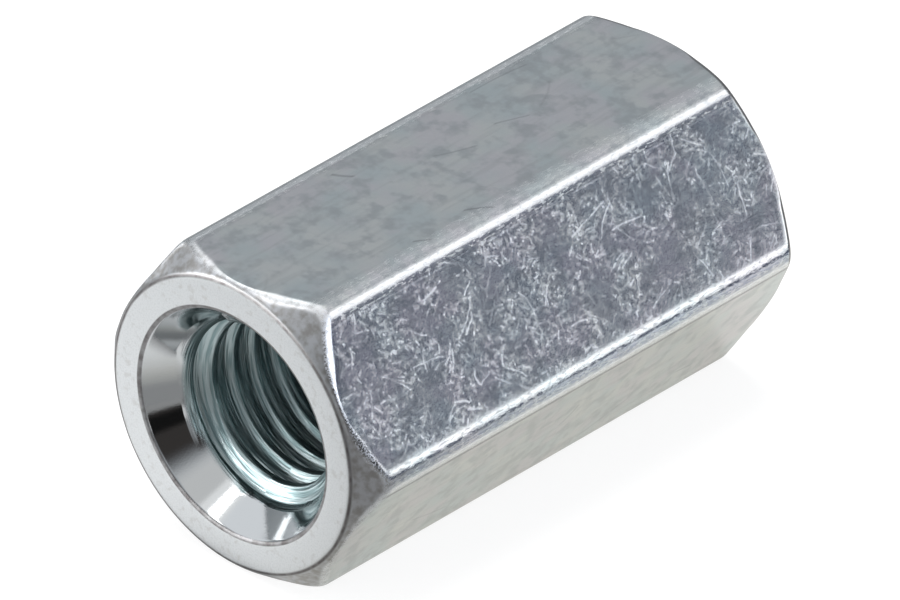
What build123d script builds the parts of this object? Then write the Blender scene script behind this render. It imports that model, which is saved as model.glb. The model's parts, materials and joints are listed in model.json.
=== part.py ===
"""A coupling nut: a long hexagonal nut that joins two threaded rods end to end.

It is one piece of steel, cut from rounded hexagonal bar, chamfered and countersunk at both ends
and threaded right through. It lies on one flat, with its bore along Y: the near end is at -Y and
+Z is up. The origin is on the bore's axis, halfway along it. Lengths are in millimetres.
"""

import os
from math import radians, sqrt, tan

from build123d import *

# The bar
across_flats = 19.0
length = 36.0
corner_radius = 1.45

# The thread, metric with a 60 degree profile
thread_diameter = 12.0
thread_pitch = 1.75

# The chamfer at each end: a cone that starts this far inside the flats, at this angle to the face
near_chamfer_inset = 0.27
near_chamfer_angle = 47.0
far_chamfer_inset = 0.08
far_chamfer_angle = 34.0

# The countersink at each end: how far it opens beyond the thread, and its angle to the axis
countersink_width = 1.26
countersink_angle = 33.0

# The rounding of the end faces' edges
near_rim_radius = 0.65
far_rim_radius = 0.5
mouth_radius = 0.4

# What follows from them
flat_distance = across_flats / 2
sharp_corner_distance = across_flats / sqrt(3)
thread_triangle_height = thread_pitch * sqrt(3) / 2
bore_radius = thread_diameter / 2 - thread_triangle_height * 5 / 8
countersink_radius = thread_diameter / 2 + countersink_width
countersink_depth = (countersink_radius - bore_radius) / tan(radians(countersink_angle))
near_face_radius = flat_distance - near_chamfer_inset
far_face_radius = flat_distance - far_chamfer_inset
near_chamfer_depth = (sharp_corner_distance - near_face_radius) * tan(radians(near_chamfer_angle))
far_chamfer_depth = (sharp_corner_distance - far_face_radius) * tan(radians(far_chamfer_angle))
near_end = -length / 2
far_end = length / 2

with BuildPart() as coupling_nut:
    # The hexagonal bar, with its long corners rounded
    with BuildSketch(Plane.XZ):
        bar_section = RegularPolygon(flat_distance, 6, major_radius=False)
        fillet(bar_section.vertices(), corner_radius)
    extrude(amount=length / 2, both=True)

    # What the lathe leaves of it: the two end faces, their chamfers and countersinks, and the bore
    with BuildSketch(Plane.XY) as turned_section:
        with BuildLine():
            Polyline(
                (bore_radius, near_end + countersink_depth),
                (countersink_radius, near_end),
                (near_face_radius, near_end),
                (sharp_corner_distance, near_end + near_chamfer_depth),
                (sharp_corner_distance, far_end - far_chamfer_depth),
                (far_face_radius, far_end),
                (countersink_radius, far_end),
                (bore_radius, far_end - countersink_depth),
                close=True,
            )
        make_face()
        near_mouth, near_rim = turned_section.vertices().group_by(Axis.Y)[0].sort_by(Axis.X)
        far_mouth, far_rim = turned_section.vertices().group_by(Axis.Y)[-1].sort_by(Axis.X)
        fillet((near_mouth, far_mouth), mouth_radius)
        fillet(near_rim, near_rim_radius)
        fillet(far_rim, far_rim_radius)
    revolve(axis=Axis.Y, mode=Mode.INTERSECT)

os.makedirs("parts", exist_ok=True)
coupling_nut.part.label = "coupling_nut"
export_step(coupling_nut.part, "parts/coupling_nut.step")
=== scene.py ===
"""Looks of a zinc-plated coupling nut: a long hexagonal nut that lies on one flat.

The nut is one surface worked out with numpy: the rounded hexagonal bar with its chamfered and
countersunk ends, and the screw thread right through it. Lengths are in metres, +Y runs along the
bore from the near end, and +Z is up. Round the bore's axis, the turn starts at +Z and goes to +X.
"""

import json

import bpy
import numpy as np
from mathutils import Matrix, Vector


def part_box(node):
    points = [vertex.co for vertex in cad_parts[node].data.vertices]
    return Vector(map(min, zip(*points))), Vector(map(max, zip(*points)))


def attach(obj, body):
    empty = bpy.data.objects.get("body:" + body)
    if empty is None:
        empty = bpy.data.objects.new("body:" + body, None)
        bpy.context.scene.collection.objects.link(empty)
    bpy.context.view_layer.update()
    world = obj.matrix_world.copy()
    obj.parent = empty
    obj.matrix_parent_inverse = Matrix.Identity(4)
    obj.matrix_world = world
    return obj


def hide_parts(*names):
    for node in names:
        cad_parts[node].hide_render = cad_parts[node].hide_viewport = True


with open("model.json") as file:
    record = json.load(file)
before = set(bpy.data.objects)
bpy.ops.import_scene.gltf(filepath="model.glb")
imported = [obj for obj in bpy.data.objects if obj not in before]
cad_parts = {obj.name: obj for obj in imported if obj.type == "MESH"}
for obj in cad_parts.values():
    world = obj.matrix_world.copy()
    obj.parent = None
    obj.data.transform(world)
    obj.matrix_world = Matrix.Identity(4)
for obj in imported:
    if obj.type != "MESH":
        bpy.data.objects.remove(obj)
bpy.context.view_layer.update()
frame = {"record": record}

MM = 0.001
TURN = 2 * np.pi

# The thread, metric with a 60 degree profile
THREAD_RADIUS = 6.0 * MM
PITCH = 1.75 * MM
THREAD_FLANK = np.radians(60)
THREAD_ROOT = PITCH / 16
THREAD_CREST = PITCH * 3 / 8
THREAD_EDGE = 0.035 * MM
THREAD_START = 0.6 * MM
RUN_OUT = 0.04 * MM

# How near a groove's middle its crest's edge may come, and how often that edge's place is refined
LEAST_CREST = 1.5 * THREAD_ROOT
CREST_PASSES = 12

# The ends: each chamfer starts this far inside the flats, at this angle to the face
NEAR_CHAMFER_INSET = 0.27 * MM
NEAR_CHAMFER_SLOPE = np.tan(np.radians(47))
FAR_CHAMFER_INSET = 0.08 * MM
FAR_CHAMFER_SLOPE = np.tan(np.radians(34))
COUNTERSINK_WIDTH = 1.26 * MM
COUNTERSINK_TAPER = np.tan(np.radians(33))

# How far each rounded edge reaches along the surfaces beside it
NEAR_RIM_REACH = 0.28 * MM
FAR_RIM_REACH = 0.15 * MM
MOUTH_REACH = 0.22 * MM
NEAR_EDGE_REACH = 0.5 * MM
FAR_EDGE_REACH = 0.3 * MM

# The most that the rim's rounding takes of a chamfer's slope, and the edge's of what that leaves
RIM_SHARE = 0.6
EDGE_SHARE = 0.9

# How far inside the mouth the level circles lie, where the outside meets the bore
MOUTH_DEPTH = 0.25 * MM

# The photograph's camera
CAMERA_AZIMUTH = np.radians(42.879)
CAMERA_ELEVATION = np.radians(32.745)
CAMERA_ROLL = np.radians(0.682)
CAMERA_DISTANCE = 1.4961
CAMERA_LENS = 1050.1
CAMERA_SENSOR = 36
AIM_RIGHT = 0.012 * MM
AIM_UP = 0.123 * MM

# How much wider than a plain circle's arc each long corner's rounding is
CORNER_EASE = 1.25

# How scuffed each flat is, from the top one on round the turn
WEAR = (0.15, 1.0, 0.35, 0.5, 0.6, 0.8)


# Shape

def hexagon_outline(flat_distance, corner_distance, flat_steps, corner_steps):
    """Columns round the rounded hexagon: turn, distance from the axis, length walked, and corner.

    A corner of radius r is a circle whose centre lies (flat_distance - r) / cos 30 out, so the
    corner's own distance gives r. The arc drawn is wider by the ease, and is then lifted by the
    squared sine of its share, so that its middle reaches the same distance. Points on a flat are
    evenly spaced, and points on a corner are evenly turned. The walk starts in the middle of the
    flat that the nut lies on. The corner value counts the corners passed, and grows evenly along
    each of them.
    """
    sixth = TURN / 6
    sharp = flat_distance / np.cos(sixth / 2)
    radius = CORNER_EASE * (sharp - corner_distance) / (1 / np.cos(sixth / 2) - 1)
    lift = corner_distance - sharp + radius * (1 / np.cos(sixth / 2) - 1)
    half_flat = (flat_distance - radius) * np.tan(sixth / 2)
    side = 2 * half_flat + radius * sixth
    along = np.linspace(-half_flat, half_flat, flat_steps, endpoint=False)
    bend = np.linspace(0, sixth, corner_steps, endpoint=False)
    across = np.r_[along, half_flat + radius * np.sin(bend)]
    out = np.r_[np.full(flat_steps, flat_distance), flat_distance - radius * (1 - np.cos(bend))]
    walked = np.r_[along, half_flat + radius * bend]
    corner = np.r_[np.zeros(flat_steps), bend / sixth]
    sides = np.arange(7)[:, None]
    columns = slice(flat_steps // 2, flat_steps // 2 + 6 * len(across))
    turn = (TURN / 2 + np.arctan2(across, out) + sides * sixth).ravel()[columns]
    walk = (walked + sides * side).ravel()[columns]
    corners = (corner + sides).ravel()[columns]
    distance = np.hypot(across, out) + lift * np.sin(np.pi * corner) ** 2
    distance = np.tile(distance, 7)[columns]
    return turn, distance, walk, corners, side, radius * sixth


def rounded(corner, before, after, reach, steps):
    """Points of an arc that rounds a corner, for each column: it touches both sides at the reach.

    The arc's centre is on the bisector of the two sides, at reach / (tan h cos h) from the
    corner, and its radius is reach / tan h, where h is half the angle that the line turns.
    """
    into = (before - corner) / np.linalg.norm(before - corner, axis=-1, keepdims=True)
    out_of = (after - corner) / np.linalg.norm(after - corner, axis=-1, keepdims=True)
    bisector = (into + out_of) / np.linalg.norm(into + out_of, axis=-1, keepdims=True)
    across = (out_of - into) / np.linalg.norm(out_of - into, axis=-1, keepdims=True)
    half_turn = np.arccos(np.sum(across * out_of, axis=-1, keepdims=True))
    radius = reach[:, None] / np.tan(half_turn)
    centre = corner + bisector * radius / np.cos(half_turn)
    angle = half_turn * np.linspace(-1, 1, steps)
    return (
        centre[:, None]
        - (bisector * radius)[:, None] * np.cos(angle)[..., None]
        + (across * radius)[:, None] * np.sin(angle)[..., None]
    )


def between(start, end, steps):
    """Evenly spaced points between two ends, without the ends, for each column."""
    share = np.linspace(0, 1, steps + 2)[1:-1, None]
    return start[:, None] * (1 - share) + end[:, None] * share


class Nut:
    """The nut's surface, as rows of points on columns that stand round the turn."""

    def __init__(self, low, high, bore_radius):
        self.near, self.far = low.y, high.y
        self.start, self.end = low.y + MOUTH_DEPTH, high.y - MOUTH_DEPTH
        self.flat_distance = high.z
        self.bore_radius = bore_radius
        self.mouth_radius = THREAD_RADIUS + COUNTERSINK_WIDTH
        outline = hexagon_outline(high.z, high.x, flat_steps=22, corner_steps=12)
        self.turn, self.distance, self.walk, self.corners, self.side, self.ridge = outline
        self.share = ((self.turn - self.turn[0]) / TURN)[:, None]

    def envelope(self, height):
        """Radius of the bore before it is threaded: the widest of the bore and the countersinks."""
        near_cone = self.mouth_radius - (height - self.near) * COUNTERSINK_TAPER
        far_cone = self.mouth_radius - (self.far - height) * COUNTERSINK_TAPER
        return np.maximum(self.bore_radius, np.maximum(near_cone, far_cone))

    def crest_radius(self, height, first_groove):
        """The envelope, but level across each crest, as low as it is at the crest's low edge."""
        middle = first_groove + (np.floor((height - first_groove) / PITCH) + 0.5) * PITCH
        half_crest = PITCH / 2 - THREAD_CREST
        level = np.minimum(self.envelope(middle - half_crest), self.envelope(middle + half_crest))
        cone = self.envelope(height)
        threaded = np.clip((THREAD_RADIUS - cone) / RUN_OUT, 0, 1)
        return cone + threaded * (np.minimum(level, cone) - cone)

    def outside(self):
        """Radius, height and zone of each point outside, from the near countersink to the far one.

        Each column is a line with six corners: mouth, rim, chamfer edge, and the same again at
        the far end. The chamfer edge is where the cone's straight line reaches the bar, so it
        lies further down the bar where the bar is further out. Every corner is then rounded.
        The zone is 0 on a countersink, 1 on an end face, 2 on a chamfer and 3 on the bar.
        """
        bar, full = self.distance, np.ones_like(self.distance)
        near_rim = self.flat_distance - NEAR_CHAMFER_INSET
        far_rim = self.flat_distance - FAR_CHAMFER_INSET
        stations = (
            (self.envelope(self.start), self.start),
            (self.mouth_radius, self.near),
            (near_rim, self.near),
            (bar, self.near + (bar - near_rim) * NEAR_CHAMFER_SLOPE),
            (bar, self.far - (bar - far_rim) * FAR_CHAMFER_SLOPE),
            (far_rim, self.far),
            (self.mouth_radius, self.far),
            (self.envelope(self.end), self.end),
        )
        corners = [np.stack([radius * full, height * full], -1) for radius, height in stations]
        near_cone = np.linalg.norm(corners[3] - corners[2], axis=-1)
        far_cone = np.linalg.norm(corners[5] - corners[4], axis=-1)
        near_rim_reach = np.minimum(NEAR_RIM_REACH, RIM_SHARE * near_cone)
        far_rim_reach = np.minimum(FAR_RIM_REACH, RIM_SHARE * far_cone)
        reaches = (
            MOUTH_REACH * full,
            near_rim_reach,
            np.minimum(NEAR_EDGE_REACH, EDGE_SHARE * (near_cone - near_rim_reach)),
            np.minimum(FAR_EDGE_REACH, EDGE_SHARE * (far_cone - far_rim_reach)),
            far_rim_reach,
            MOUTH_REACH * full,
        )
        arc_steps = (7, 7, 8, 6, 7, 7)
        gap_steps = (0, 5, 6, 109, 6, 5)
        rows, zones = [corners[0][:, None]], [np.zeros(1)]
        for i in range(6):
            arc = rounded(corners[i + 1], corners[i], corners[i + 2], reaches[i], arc_steps[i])
            rows += [between(rows[-1][:, -1], arc[:, 0], gap_steps[i]), arc]
            zones += [np.full(gap_steps[i], i), np.linspace(i, i + 1, arc_steps[i])]
        rows.append(corners[7][:, None])
        zones.append(np.full(1, 6))
        points = np.concatenate(rows, axis=1)
        zone = 3 - np.abs(3 - np.concatenate(zones))
        return points, np.broadcast_to(zone, points.shape[:2])

    def helical_rows(self):
        """Heights of the bore's rows in every column, and how many of the rows make one pitch.

        Along a row the height rises by one pitch in a turn, so one list of heights for the first
        column says it all: row k rises in a turn to the first column's height for the row that
        lies one pitch's rows later. At both ends the list repeats one height, so there the rows
        fan out from the first column, and the ends are level circles.
        """
        middle = (THREAD_ROOT + THREAD_CREST) / 2
        knots = [THREAD_ROOT, middle, THREAD_CREST]
        half = [knots[0] - THREAD_EDGE, knots[0] + THREAD_EDGE, middle,
                knots[2] - THREAD_EDGE, knots[2] + THREAD_EDGE]
        profile = np.r_[0, half, PITCH / 2, PITCH - np.array(half[::-1])]
        pitches = int((self.end - self.start - THREAD_START) / PITCH)
        helix = (np.arange(pitches)[:, None] * PITCH + profile).ravel()
        heights = np.r_[self.start, self.start + THREAD_START + helix, self.end]
        first = np.r_[np.full(len(profile), self.start), heights]
        later = np.r_[heights, np.full(len(profile), self.end)]
        return first + self.share * (later - first), len(profile)

    def inside(self):
        """Radius, height and zone of each point in the bore, and how many rows make one pitch.

        The groove's radius falls from the thread's own radius with the tangent of the flank's
        angle, beyond a flat root of an eighth of a pitch. The bore is the larger of groove and
        envelope, with the edge between them rounded. The rows at the crest's edges are moved to
        where the flank meets the envelope, so that the edge follows the grid. The zone is 0 on a
        countersink and -1 on the thread.
        """
        height, pitch_rows = self.helical_rows()
        first_groove = self.start + THREAD_START + self.share * PITCH
        groove_number = np.round((height - first_groove) / PITCH)
        middle = first_groove + groove_number * PITCH
        side, off = np.sign(height - middle), np.abs(height - middle)
        edge = np.full_like(height, THREAD_CREST)
        for _ in range(CREST_PASSES):
            depth = THREAD_RADIUS - self.crest_radius(middle + side * edge, first_groove)
            edge = np.maximum(THREAD_ROOT + depth / np.tan(THREAD_FLANK), LEAST_CREST)
        flank_share = np.clip((off - THREAD_ROOT) / (THREAD_CREST - THREAD_ROOT), 0, 1)
        crest_share = np.clip((off - THREAD_CREST) / (PITCH / 2 - THREAD_CREST), 0, 1)
        moved = np.minimum(off, THREAD_ROOT)
        moved += flank_share * (edge - THREAD_ROOT) + crest_share * (PITCH / 2 - edge)
        cut = np.clip((THREAD_RADIUS - self.envelope(height)) / RUN_OUT, 0, 1)
        height = np.sort(height + cut * (middle + side * moved - height), axis=1)
        off = np.abs(height - first_groove - np.round((height - first_groove) / PITCH) * PITCH)
        groove = THREAD_RADIUS - np.clip(off - THREAD_ROOT, 0, None) * np.tan(THREAD_FLANK)
        crest = self.crest_radius(height, first_groove)
        radius = (groove + crest + np.hypot(groove - crest, THREAD_EDGE / 2)) / 2
        zone = np.clip((self.envelope(height) - THREAD_RADIUS) / RUN_OUT, -1, 0)
        return np.stack([radius, height], -1), zone, pitch_rows


def squares(here, there):
    """Corners of the squares between each column's rows and those of the column after it."""
    return np.stack([here[:, :-1], there[:, :-1], there[:, 1:], here[:, 1:]], -1).reshape(-1, 4)


def nut_piece(nut):
    """The closed nut: its outside and its bore share the level circles in the countersinks.

    A point lies at (radius sin turn, height, radius cos turn). After a whole turn each row of the
    bore carries on as the row that lies one pitch's rows later.
    """
    outside, outside_zone = nut.outside()
    inside, inside_zone, pitch_rows = nut.inside()
    points = np.concatenate([outside, inside[:, 1:-1]], axis=1)
    zone = np.concatenate([outside_zone, inside_zone[:, 1:-1]], axis=1)
    radius, height = points[..., 0], points[..., 1]
    turn = nut.turn[:, None]
    places = np.stack([radius * np.sin(turn), height, radius * np.cos(turn)], -1).reshape(-1, 3)

    number = np.arange(len(places)).reshape(radius.shape)
    outer = number[:, : outside.shape[1]]
    bore = np.concatenate([outer[:, :1], number[:, outside.shape[1]:], outer[:, -1:]], axis=1)
    bore[0, : pitch_rows + 1] = outer[0, 0]
    outer_after, bore_after = np.roll(outer, -1, axis=0), np.roll(bore, -1, axis=0)
    bore_after[-1] = bore[0, np.minimum(np.arange(bore.shape[1]) + pitch_rows, bore.shape[1] - 1)]
    bore_squares = squares(bore[:, ::-1], bore_after[:, ::-1])
    corners = np.concatenate([squares(outer, outer_after), bore_squares])

    walk = np.broadcast_to(nut.walk[:, None], radius.shape)
    walk_after = np.broadcast_to(np.r_[nut.walk[1:], 6 * nut.side][:, None], radius.shape)
    rows_out, rows_in = outer.shape[1], bore.shape[1]
    across = np.concatenate([
        squares(walk[:, :rows_out], walk_after[:, :rows_out]),
        squares(walk[:, :rows_in], walk_after[:, :rows_in]),
    ])

    # A square with one side of no length is a triangle, and one with two is left out
    own = corners != np.roll(corners, -1, axis=1)
    kept = own.sum(1) > 2
    corners, across, own = corners[kept], across[kept], own[kept]
    used, corner_points = np.unique(corners[own], return_inverse=True)
    faces = np.split(corner_points, np.cumsum(own.sum(1))[:-1])

    mesh = bpy.data.meshes.new("nut")
    mesh.from_pydata(places[used].tolist(), [], [face.tolist() for face in faces])
    mesh.shade_smooth()
    surface = np.stack([across[own], places[corners[own], 1]], -1) / MM
    mesh.uv_layers.new(name="surface").data.foreach_set("uv", surface.ravel())
    wear = np.interp(nut.corners, np.arange(7), np.roll(WEAR, -3)[np.arange(7) % 6])
    wear = np.broadcast_to(wear[:, None], radius.shape)
    for name, values in {"zone": zone, "wear": wear}.items():
        mesh.attributes.new(name, "FLOAT", "POINT").data.foreach_set("value", values.ravel()[used])
    piece = bpy.data.objects.new("nut", mesh)
    bpy.context.scene.collection.objects.link(piece)
    return piece


# Shader maths

class Value:
    """A socket of a node tree. Arithmetic on it adds the Math nodes that work it out."""

    def __init__(self, nodes, socket):
        self.nodes, self.socket = nodes, socket

    def math(self, operation, *others, clamp=False):
        settings = {"operation": operation, "use_clamp": clamp}
        return self.nodes.add("Math", settings, dict(enumerate((self, *others))))

    def __add__(self, other):
        return self.math("ADD", other)

    def __sub__(self, other):
        return self.math("SUBTRACT", other)

    def __rsub__(self, other):
        return self.nodes.add("Math", {"operation": "SUBTRACT"}, {0: other, 1: self})

    def __mul__(self, other):
        return self.math("MULTIPLY", other)

    def __truediv__(self, other):
        return self.math("DIVIDE", other)

    __radd__ = __add__
    __rmul__ = __mul__

    def step(self, low, high):
        """0 at low, 1 at high and beyond it, and a smooth change between them, either way up."""
        settings = {"interpolation_type": "SMOOTHSTEP"}
        bounds = {1: min(low, high), 2: max(low, high)}
        rise = self.nodes.add("MapRange", settings, {0: self, **bounds})
        return rise if low < high else 1 - rise

    def band(self, low, full, still_full, high):
        """0 up to low, 1 from full to still_full, and 0 again from high on."""
        return self.step(low, full) * self.step(high, still_full)

    def limited(self):
        return self.math("ADD", 0.0, clamp=True)

    def beside(self, output):
        """Another output of the same node."""
        return Value(self.nodes, self.socket.node.outputs[output])


class Nodes:
    """The node tree of a material or a world."""

    def __init__(self, owner):
        owner.use_nodes = True
        self.tree = owner.node_tree
        self.tree.nodes.clear()

    def add(self, kind, settings=None, sockets=None, output=0):
        """Adds a node, sets its settings and then its sockets, and gives one of its outputs."""
        node = self.tree.nodes.new("ShaderNode" + kind)
        for name, value in (settings or {}).items():
            setattr(node, name, value)
        for name, value in (sockets or {}).items():
            if isinstance(value, Value):
                self.tree.links.new(value.socket, node.inputs[name])
            else:
                node.inputs[name].default_value = value
        return Value(self, node.outputs[output])

    def vector(self, operation, *vectors):
        return self.add("VectorMath", {"operation": operation}, dict(enumerate(vectors)))

    def scaled(self, vector, factor):
        return self.add("VectorMath", {"operation": "SCALE"}, {0: vector, "Scale": factor})

    def parts(self, vector):
        separate = self.add("SeparateXYZ", None, {0: vector})
        return [separate.beside(name) for name in "XYZ"]

    def mixed(self, factor, first, second):
        """The first colour where the factor is 0, and the second where it is 1."""
        sockets = {0: factor, 6: first, 7: second}
        return self.add("Mix", {"data_type": "RGBA"}, sockets, output=2)

    def layered(self, colour, *layers):
        """A colour under layers, each of which has its cover, from 0 to 1, and its own colour."""
        for cover, layer in layers:
            colour = self.mixed(cover, colour, layer)
        return colour

    def output(self, kind, shader):
        """Ends the tree in its output node, Material or World, with the shader in it."""
        end = self.tree.nodes.new("ShaderNodeOutput" + kind)
        self.tree.links.new(shader.socket, end.inputs["Surface"])


def grey(level):
    return (level, level, level, 1)


def noise(nodes, vector, scale, detail=2.0, output="Fac", dimensions="3D"):
    sockets = {"Vector": vector, "Scale": scale, "Detail": detail}
    return nodes.add("TexNoise", {"noise_dimensions": dimensions}, sockets, output)


# Finish of the nut

# Specks: spacing, largest radius and seed. Scratches and pits: spacing, length, width and seed.
# Spacings and sizes are in mm, and so is the way over which each mark fades at its end.
SPECKS = (0.45, 0.20, 3.1)
SCRATCHES = (
    (0.50, 0.40, 0.11, 5.3),
    (0.62, 0.60, 0.12, 11.9),
    (0.85, 0.95, 0.11, 23.1),
    (1.30, 1.60, 0.11, 31.9),
    (1.90, 2.40, 0.11, 40.3),
    (2.90, 3.80, 0.11, 47.2),
)
PITS = (2.6, 2.4, 0.09, 71.3)
MARK_FADE = 0.1
SCRATCH_BEND = 0.8

# Colours of the plate, of what marks it, of painted light and shade, and of each area with its own
COOL_ZINC = (0.59, 0.65, 0.67, 1)
WARM_ZINC = (0.68, 0.70, 0.70, 1)
LILAC_ZINC = (0.67, 0.65, 0.69, 1)
BLOTCH = (0.46, 0.49, 0.51, 1)
STREAK = (0.46, 0.48, 0.49, 1)
PIT = (0.22, 0.23, 0.25, 1)
SCUFF = (0.79, 0.83, 0.90, 1)
# Painted highlight, on a band along each ridge and along the near chamfer edge
PAINTED_HIGHLIGHT = (0.92, 0.94, 0.96, 1)
FLECK = (0.42, 0.44, 0.52, 1)
# Painted shade in the rough ridges' groove
GROOVE_SHADE = (0.25, 0.27, 0.33, 1)
# Painted shade along the edge of each ridge
PAINTED_DARK_LINE = (0.24, 0.24, 0.26, 1)
# Painted shade on the rims, the countersinks' mouths and the far chamfer edge
EDGE_SHADE = (0.14, 0.13, 0.13, 1)
CHAMFER_TINTS = (0.35, 0.34, 0.33, 1), (0.52, 0.53, 0.55, 1)
THREAD_TINTS = (0.22, 0.30, 0.31, 1), (0.42, 0.50, 0.51, 1)
FACE_TINTS = (0.60, 0.62, 0.63, 1), (0.67, 0.69, 0.70, 1)
FACE_STAIN = (0.50, 0.50, 0.49, 1)
COUNTERSINK = (0.60, 0.62, 0.63, 1)

# How far the lilac clouds are moved from the paler ones, in mm, and how deep the bump is
CLOUD_SHIFT = (31.0, 7.0, 3.0)
RELIEF = 0.006 * MM


def cells(nodes, surface, spacing, seed):
    """Scattered points, one to a cell: the way from the nearest, and three chances of its own."""
    moved = nodes.vector("ADD", surface, (seed, seed * 1.3, 0))
    place = nodes.scaled(moved, 1 / spacing)
    settings = {"voronoi_dimensions": "2D"}
    middle = nodes.add("TexVoronoi", settings, {"Vector": place, "Scale": 1.0}, "Position")
    offset = nodes.vector("SUBTRACT", place, middle)
    return nodes.parts(offset)[:2], nodes.parts(middle.beside("Color"))


def specks(nodes, surface, spacing, largest, seed):
    """Round specks, one to a cell of the given spacing, each with its own size and strength."""
    (x, y), chances = cells(nodes, surface, spacing, seed)
    distance = (x * x + y * y).math("SQRT")
    size = chances[0] * chances[1] * (largest / spacing)
    return (size - distance).step(0, MARK_FADE / spacing) * chances[2]


def scratches(nodes, surface, spacing, length, width, seed):
    """Short curved scratches, one to a cell of the given spacing, each turned its own way.

    Along the scratch and across it are the place's two shares of the cell's own direction. The
    line bends as the square of the way along it. Most of them are faint and few are strong.
    """
    (x, y), chances = cells(nodes, surface, spacing, seed)
    angle = chances[0] * TURN
    cosine, sine = angle.math("COSINE"), angle.math("SINE")
    along = x * cosine + y * sine
    across = y * cosine - x * sine + (chances[1] - 0.5) * along * along * SCRATCH_BEND
    half_length = (chances[2] * 0.7 + 0.3) * (length / spacing / 2)
    inside = (half_length - along.math("ABSOLUTE")).step(0, MARK_FADE / spacing)
    strength = (chances[1] * 7.3).math("FRACT")
    return inside * across.math("ABSOLUTE").step(width / spacing, 0) * strength * strength


def scuffs_on(nodes, surface):
    """Strokes and specks, thicker in some patches than in others, and the haze between them."""
    wander = nodes.scaled(noise(nodes, surface, 1.3, output="Color", dimensions="2D"), 0.2)
    drawn = nodes.vector("ADD", surface, wander)
    marks = specks(nodes, drawn, *SPECKS)
    for layer in SCRATCHES:
        marks = marks.math("MAXIMUM", scratches(nodes, drawn, *layer))
    patches = noise(nodes, surface, 0.5, 4.0, dimensions="2D").step(0.38, 0.62)
    haze = noise(nodes, drawn, 3.0, 3.0, dimensions="2D").step(0.4, 0.7)
    return marks * (patches * 0.4 + 0.16), haze * (patches * 0.7 + 0.1)


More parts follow.
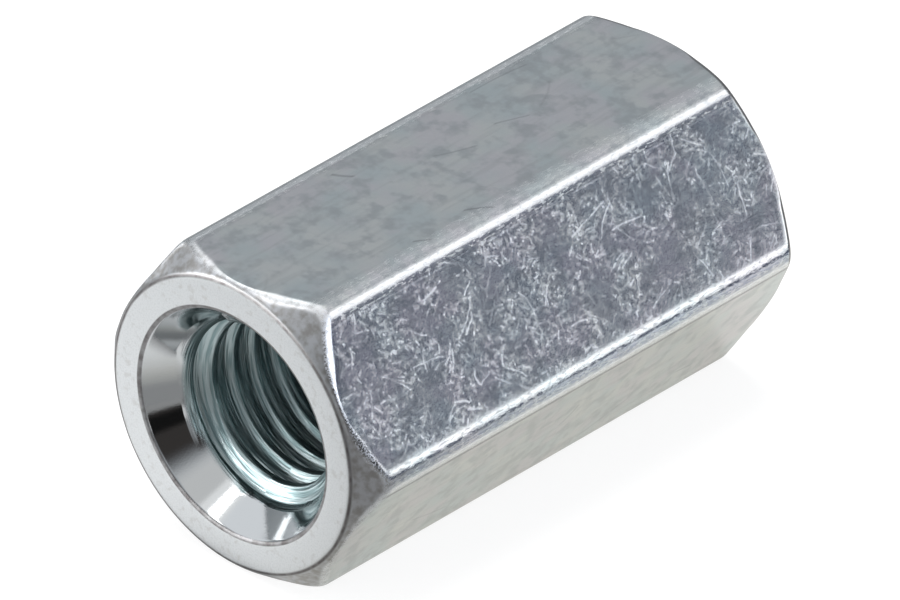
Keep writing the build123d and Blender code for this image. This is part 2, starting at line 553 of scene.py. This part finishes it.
class ZincPlate:
    """Zinc plate: matt on the end faces, scuffed on the flats, glossy in the countersinks.

    The surface map gives mm walked round the bar and mm along it. Each side of the bar walks the
    same length, with a ridge round each half-way point between the middles of two flats.
    """

    def __init__(self, nodes, side, ridge):
        self.nodes = nodes
        self.surface = nodes.add("UVMap", {"uv_map": "surface"})
        self.place = nodes.scaled(nodes.add("TexCoord", output="Object"), 1 / MM)
        self.wear = nodes.add("Attribute", {"attribute_name": "wear"}, output="Fac")
        self.walk, self.height, _ = nodes.parts(self.surface)
        self.fine = noise(nodes, self.place, 9.0, 3.0)
        self.uneven = noise(nodes, self.place, 2.2, 3.0)
        self.flecks = self.drawn_out(7.0, 2.0, 2.0)
        self.find_areas()
        self.find_ridge_lines(side, ridge)
        self.find_tool_marks(side)
        self.find_scuffs()

    def drawn_out(self, round_scale, length_scale, detail):
        """Noise with one scale round the bar and another along it."""
        scales = (round_scale, length_scale, 0.0)
        stretched = self.nodes.vector("MULTIPLY", self.surface, scales)
        return noise(self.nodes, stretched, 1.0, detail, dimensions="2D")

    def find_areas(self):
        """How far a point belongs to each area, by the zone that the surface carries."""
        zone = self.nodes.add("Attribute", {"attribute_name": "zone"}, output="Fac")
        self.thread = zone.step(0, -1)
        self.cone = zone.band(-1, 0, 0, 0.5)
        self.mouth = zone.band(0.1, 0.3, 0.8, 1)
        self.ring = zone.band(0, 1, 1, 2)
        self.rim = zone.band(1.15, 1.45, 1.55, 1.85)
        self.chamfer = zone.band(1, 2, 2, 3)
        self.edge = zone.band(2.05, 2.3, 2.7, 2.95)
        self.bar = zone.step(2, 3)
        self.near = self.height.step(0, -10)

    def find_ridge_lines(self, side, ridge):
        """Lines drawn along each ridge, by the place across it, from -1 at its start to 1.

        The ridges beyond the scuffed flat are the rough ones, with the stronger dark line. The
        lines
        are painted light and shade: a highlight band, a darker groove, a dark line at the edge, and
        dashes of highlight beyond it.
        """
        sides = self.walk / side
        from_middle = (sides.math("FRACT") - 0.5) * side
        across = (from_middle + (self.uneven - 0.5) * 0.1) * (2 / ridge)
        beyond = sides.step(3.8, 4.2)
        dashes = self.drawn_out(6.6, 0.48, 2.0)
        self.ridge = across.math("ABSOLUTE").step(1.08, 0.9) * self.bar
        self.rough_ridge = self.ridge * across.step(-0.65, -0.4) * (beyond * 0.8 + 0.2)
        # The groove is dented in the bump and also painted darker, as painted shade
        self.groove = across.band(-0.3, -0.1, 0.0, 0.3) * self.flecks.step(0.6, 0.4)
        # Painted highlight: a band across each ridge painted lighter, and also raised on the rough
        # ridges
        self.highlight_band = across.band(0.2, 0.35, 0.65, 0.8)
        # Painted shade: a dark line along each ridge's edge, stronger beyond the scuffed flat
        self.painted_dark_line = across.band(0.8, 0.92, 1.02, 1.12) * self.bar * (beyond * 0.7 + 0.1)
        # Painted highlight: dashes of lighter and rougher colour just beyond each ridge's dark line
        self.highlight_dashes = across.band(1.06, 1.14, 1.22, 1.3) * self.bar * dashes.step(0.35, 0.55) * 0.15

    def find_tool_marks(self, side):
        """Fine lines in the thread, which climb by one pitch in a turn as the thread does."""
        climb = self.height - self.walk * (PITCH / MM / 6 / side)
        helix = self.nodes.add("CombineXYZ", None, {0: self.walk * 0.02, 1: climb})
        self.tool_marks = noise(self.nodes, helix, 9.0, 2.0, dimensions="2D")

    def find_scuffs(self):
        """Scuffs and haze, fewer on the ridges and at the far end, and beads on the near edge."""
        worn = self.wear * self.bar * (1 - self.ridge * 0.8) * (1 - self.height.step(-4, 16) * 0.3)
        marks, haze = scuffs_on(self.nodes, self.surface)
        beads = self.edge * self.near * self.fine.step(0.48, 0.56) * 0.6
        # The dashes of painted highlight beside the ridges go in with the scuffs
        self.scuffs = (marks * worn + (self.highlight_dashes + beads) * self.wear).limited()
        self.haze = haze * worn

    def bar_colour(self):
        """Clouds of three tints, with blotches, streaks and pits, and the lines on the ridges."""
        nodes = self.nodes
        broad = noise(nodes, self.place, 0.35, 2.0)
        hue = noise(nodes, nodes.vector("ADD", self.place, CLOUD_SHIFT), 0.3, 3.0)
        blotches = noise(nodes, self.place, 0.9, 5.0)
        streaks = self.drawn_out(2.2, 0.16, 3.0)
        lengthwise = nodes.vector("MULTIPLY", self.surface, (1.0, 0.4, 0.0))
        pits = scratches(nodes, lengthwise, *PITS)
        return nodes.layered(
            nodes.mixed(broad.step(0.3, 0.7), COOL_ZINC, WARM_ZINC),
            (hue.step(0.42, 0.62) * 0.7, LILAC_ZINC),
            (blotches.step(0.55, 0.32) * 0.7, BLOTCH),
            (streaks.step(0.52, 0.28) * 0.25, STREAK),
            (pits * (0.6 - self.wear * 0.4), PIT),
            (self.ridge * self.highlight_band * 0.9, PAINTED_HIGHLIGHT),
            (self.rough_ridge * self.flecks.step(0.56, 0.42) * 0.3, FLECK),
            (self.rough_ridge * self.groove * 0.5, GROOVE_SHADE),
            (self.painted_dark_line, PAINTED_DARK_LINE),
        )

    def colour(self):
        """The bar's colour, then each other area's, painted highlight and shade on edges, and the
        scuffs.
        """
        nodes, uneven = self.nodes, self.uneven
        dull = nodes.mixed(uneven.step(0.3, 0.66), *CHAMFER_TINTS)
        turned = nodes.mixed(self.tool_marks.step(0.35, 0.6), *THREAD_TINTS)
        faced = nodes.mixed(self.fine.step(0.3, 0.6), *FACE_TINTS)
        stained = nodes.mixed(uneven.step(0.46, 0.28) * 0.5, faced, FACE_STAIN)
        # Painted highlight along the near chamfer edge
        near_edge_highlight = self.edge * self.near * (uneven.step(0.35, 0.6) * 0.4 + 0.15)
        # Painted shade: dark on the rims, the countersinks' mouths and the far chamfer edge
        rim = self.rim * (uneven * 0.8 + 0.5).limited()
        mouth = self.mouth * (uneven * 0.8 + 0.4).limited()
        far_edge_shade = self.edge * (1 - self.near) * 0.8
        return nodes.layered(
            self.bar_colour(),
            (self.chamfer, dull),
            (self.thread, turned),
            (self.cone, COUNTERSINK),
            (self.ring, stained),
            (near_edge_highlight, PAINTED_HIGHLIGHT),
            ((rim + mouth + far_edge_shade).limited(), EDGE_SHADE),
            (self.scuffs, SCUFF),
        )

    def roughness(self):
        """Each area's own roughness, and what the marks and the ridges add to it."""
        areas = self.bar * 0.14 + self.chamfer * 0.3 + self.ring * 0.45
        areas = areas + self.cone * 0.07 + self.thread * 0.31 + self.mouth * 0.2
        marks = self.scuffs * 0.3 + self.haze * 0.13
        ridges = self.ridge * (self.flecks.step(0.5, 0.7) * 0.2 + 0.04)
        return (areas + marks + ridges) * ((self.fine - 0.5) * 0.3 + 1.0)

    def relief(self):
        """Fine grain everywhere, tool marks in the thread, and the lines on the rough ridges."""
        ridges = self.flecks * 2.0 - self.groove * 1.5 + self.highlight_band * 1.5
        return self.fine * 0.3 + self.thread * self.tool_marks * 6.0 + self.rough_ridge * ridges


def zinc_finish(side, ridge):
    """The zinc plate's material, for sides of the bar and ridges as wide as given, in mm."""
    material = bpy.data.materials.new("zinc_plated_steel")
    nodes = Nodes(material)
    plate = ZincPlate(nodes, side, ridge)
    relief = {"Height": plate.relief(), "Distance": RELIEF, "Strength": 1.0}
    nodes.output("Material", nodes.add("BsdfPrincipled", None, {
        "Base Color": plate.colour(),
        "Metallic": 1.0,
        "Roughness": plate.roughness(),
        "Normal": nodes.add("Bump", None, relief),
    }))
    return material


# Studio

FLOOR_RADIUS = 60 * MM
FLOOR_CORNERS = 96
FLOOR_PAINT = 0.22
FLOOR_LIFT = 0.85

# What the nut mirrors of the floor: ahead of it on the left, on its right, farther out, and behind
GLINT_LEFT = (0.71, 0.71, 0.71, 1)
GLINT_RIGHT = (0.54, 0.53, 0.48, 1)
GLINT_BEYOND = (0.62, 0.65, 0.70, 1)
GLINT_BEHIND = (0.25, 0.25, 0.25, 1)

LAMP_POWER = 1.2
LAMP_SIZE = 0.25
LAMP_PLACE = (-0.05, 0.03, 0.4)

# The studio's shell, at the horizon and overhead
SHELL_LOW = (0.38, 0.40, 0.415, 1)
SHELL_HIGH = (0.68, 0.70, 0.72, 1)

# Each card: compass and height of its middle, half its width and height, and softness, all in
# degrees, and its colour
CARDS = {
    "overhead softbox": (-40, 80, 180, 24, 10, (1.1, 1.1, 1.1, 1)),
    "overhead flag": (140, 70, 40, 20, 14, (0.75, 0.75, 0.75, 1)),
    "left screen": (-112, 40, 20, 22, 10, (0.95, 0.97, 1.0, 1)),
    "dark right side": (76, 12, 49, 28, 30, (0.048, 0.064, 0.118, 1)),
    "dark front side": (113, 12, 24, 30, 24, (0.050, 0.045, 0.043, 1)),
    "pale front edge": (110, -16, 26, 14, 4, (0.36, 0.36, 0.36, 1)),
    "dark front edge": (149, -12, 12, 9, 8, (0.12, 0.12, 0.12, 1)),
    "low front light": (139, 2, 8, 5, 5, (0.8, 0.8, 0.8, 1)),
    "black right side": (100, 8, 26, 7, 6, (0.01, 0.01, 0.01, 1)),
    "right strip": (82, 29, 22, 10, 4, (2.3, 2.4, 2.6, 1)),
    "horizon strip": (48, 6, 25, 4, 2, (2.6, 2.6, 2.6, 1)),
    "back softbox": (40, 34, 14, 12, 10, (1.3, 1.3, 1.3, 1)),
    "left softbox": (-72, 53, 25, 12, 6, (1.6, 1.6, 1.6, 1)),
    "front softbox": (-149, 58, 11, 11, 3, (3.0, 3.0, 3.0, 1)),
    "front strip": (-145, 11, 28, 14, 8, (4.7, 4.7, 4.7, 1)),
    "left strip": (-84, 3, 6, 9, 3, (2.5, 2.5, 2.5, 1)),
}


def floor_finish():
    """Pale floor with some light of its own, so that it shows white round the nut's shadow.

    What the nut mirrors of the floor is the floor's own glow, seen only in reflections: pale in
    front of it to the left, with painted shadow in front of it to the right and close to its foot.
    """
    material = bpy.data.materials.new("white_floor")
    nodes = Nodes(material)
    x, y, _ = nodes.parts(nodes.scaled(nodes.add("TexCoord", output="Object"), 1 / MM))
    # Painted shadow in the glow that the nut mirrors: close to its foot, and in front of it to the
    # right
    foot = x.step(4, 2) * y.step(-19.6, -18.2) * 0.6
    shade = (x - (y + 22) * 0.8).step(-4, 18)
    mirrored = nodes.layered(
        GLINT_BEHIND,
        (x.step(-5, 5), GLINT_RIGHT),
        (x.step(12, 28), GLINT_BEYOND),
        (x.step(8, 0) * y.step(-8, -16), GLINT_LEFT),
        (foot.math("MAXIMUM", shade), grey(0.0)),
    )
    path = nodes.add("LightPath")
    glow = nodes.layered(
        grey(0.0),
        (path.beside("Is Camera Ray"), grey(FLOOR_LIFT)),
        (path.beside("Is Glossy Ray"), mirrored),
    )
    paint = nodes.add("BsdfDiffuse", None, {"Color": grey(FLOOR_PAINT)})
    light = nodes.add("Emission", None, {"Color": glow})
    nodes.output("Material", nodes.add("AddShader", None, {0: paint, 1: light}))
    return material


def floor_piece(height):
    """A round board under the nut."""
    turn = np.linspace(0, TURN, FLOOR_CORNERS, endpoint=False)
    x, y = np.cos(turn) * FLOOR_RADIUS, np.sin(turn) * FLOOR_RADIUS
    mesh = bpy.data.meshes.new("floor")
    mesh.from_pydata(
        np.stack([x, y, np.full(FLOOR_CORNERS, height)], -1).tolist(),
        [],
        [list(range(FLOOR_CORNERS))],
    )
    mesh.materials.append(floor_finish())
    piece = bpy.data.objects.new("floor", mesh)
    bpy.context.scene.collection.objects.link(piece)
    return piece


def overhead_lamp():
    """A wide lamp over the floor, which lights it round the nut and gives a soft shadow."""
    data = bpy.data.lights.new("overhead_lamp", "AREA")
    data.shape, data.size, data.energy = "DISK", LAMP_SIZE, LAMP_POWER
    lamp = bpy.data.objects.new("overhead_lamp", data)
    lamp.location = LAMP_PLACE
    lamp.rotation_euler = lamp.location.to_track_quat("Z", "Y").to_euler()
    lamp.visible_camera = lamp.visible_glossy = False
    bpy.context.scene.collection.objects.link(lamp)


def studio_world():
    """The studio as the light that comes from each direction: a grey shell with cards set in it.

    Compass is the angle from +Y towards +X, and height the angle above the horizon. A card's share
    falls smoothly from 1 to 0 at its edges, and each card covers the ones before it.
    """
    world = bpy.data.worlds.new("studio")
    bpy.context.scene.world = world
    nodes = Nodes(world)
    x, y, z = nodes.parts(nodes.add("TexCoord", output="Generated"))
    compass = x.math("ARCTAN2", y) * np.degrees(1)
    height = z.math("ARCSINE") * np.degrees(1)
    layers = []
    for middle, level, half_width, half_height, softness, colour in CARDS.values():
        aside = (compass - middle).math("WRAP", 180.0, -180.0).math("ABSOLUTE")
        above = (height - level).math("ABSOLUTE")
        half_edge = softness / 2
        cover = aside.step(half_width + half_edge, half_width - half_edge)
        cover = cover * above.step(half_height + half_edge, half_height - half_edge)
        layers.append((cover, colour))
    layers.append((nodes.add("LightPath", output="Is Camera Ray"), grey(1.0)))
    shell = nodes.mixed(height.step(10, 70), SHELL_LOW, SHELL_HIGH)
    light = nodes.layered(shell, *layers)
    nodes.output("World", nodes.add("Background", None, {"Color": light}))


def photograph_camera():
    """The camera of the photograph, turned about its own axis by the photograph's slight roll."""
    azimuth, elevation, roll = CAMERA_AZIMUTH, CAMERA_ELEVATION, CAMERA_ROLL
    level = Vector((np.cos(azimuth), np.sin(azimuth), 0))
    back = Vector((
        np.sin(azimuth) * np.cos(elevation),
        -np.cos(azimuth) * np.cos(elevation),
        np.sin(elevation),
    ))
    upright = back.cross(level)
    right = level * np.cos(roll) + upright * np.sin(roll)
    up = upright * np.cos(roll) - level * np.sin(roll)
    place = back * CAMERA_DISTANCE + right * AIM_RIGHT + up * AIM_UP
    turned = Matrix((right, up, back)).transposed().to_4x4()
    data = bpy.data.cameras.new("camera")
    data.lens, data.sensor_width = CAMERA_LENS, CAMERA_SENSOR
    data.clip_start, data.clip_end = 0.1, 10
    camera = bpy.data.objects.new("camera", data)
    camera.matrix_world = Matrix.Translation(place) @ turned
    bpy.context.scene.collection.objects.link(camera)
    bpy.context.scene.camera = camera


low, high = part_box("coupling_nut")
thread = next(mount for mount in frame["record"]["mounts"] if mount["name"] == "thread")
nut = Nut(low, high, thread["dims"]["r_mm"] * MM)
piece = nut_piece(nut)
piece.data.materials.append(zinc_finish(nut.side / MM, nut.ridge / MM))
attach(piece, "root")
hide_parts("coupling_nut")

floor = floor_piece(low.z)
studio_world()
overhead_lamp()
photograph_camera()
bpy.context.scene.view_settings.view_transform = "Standard"
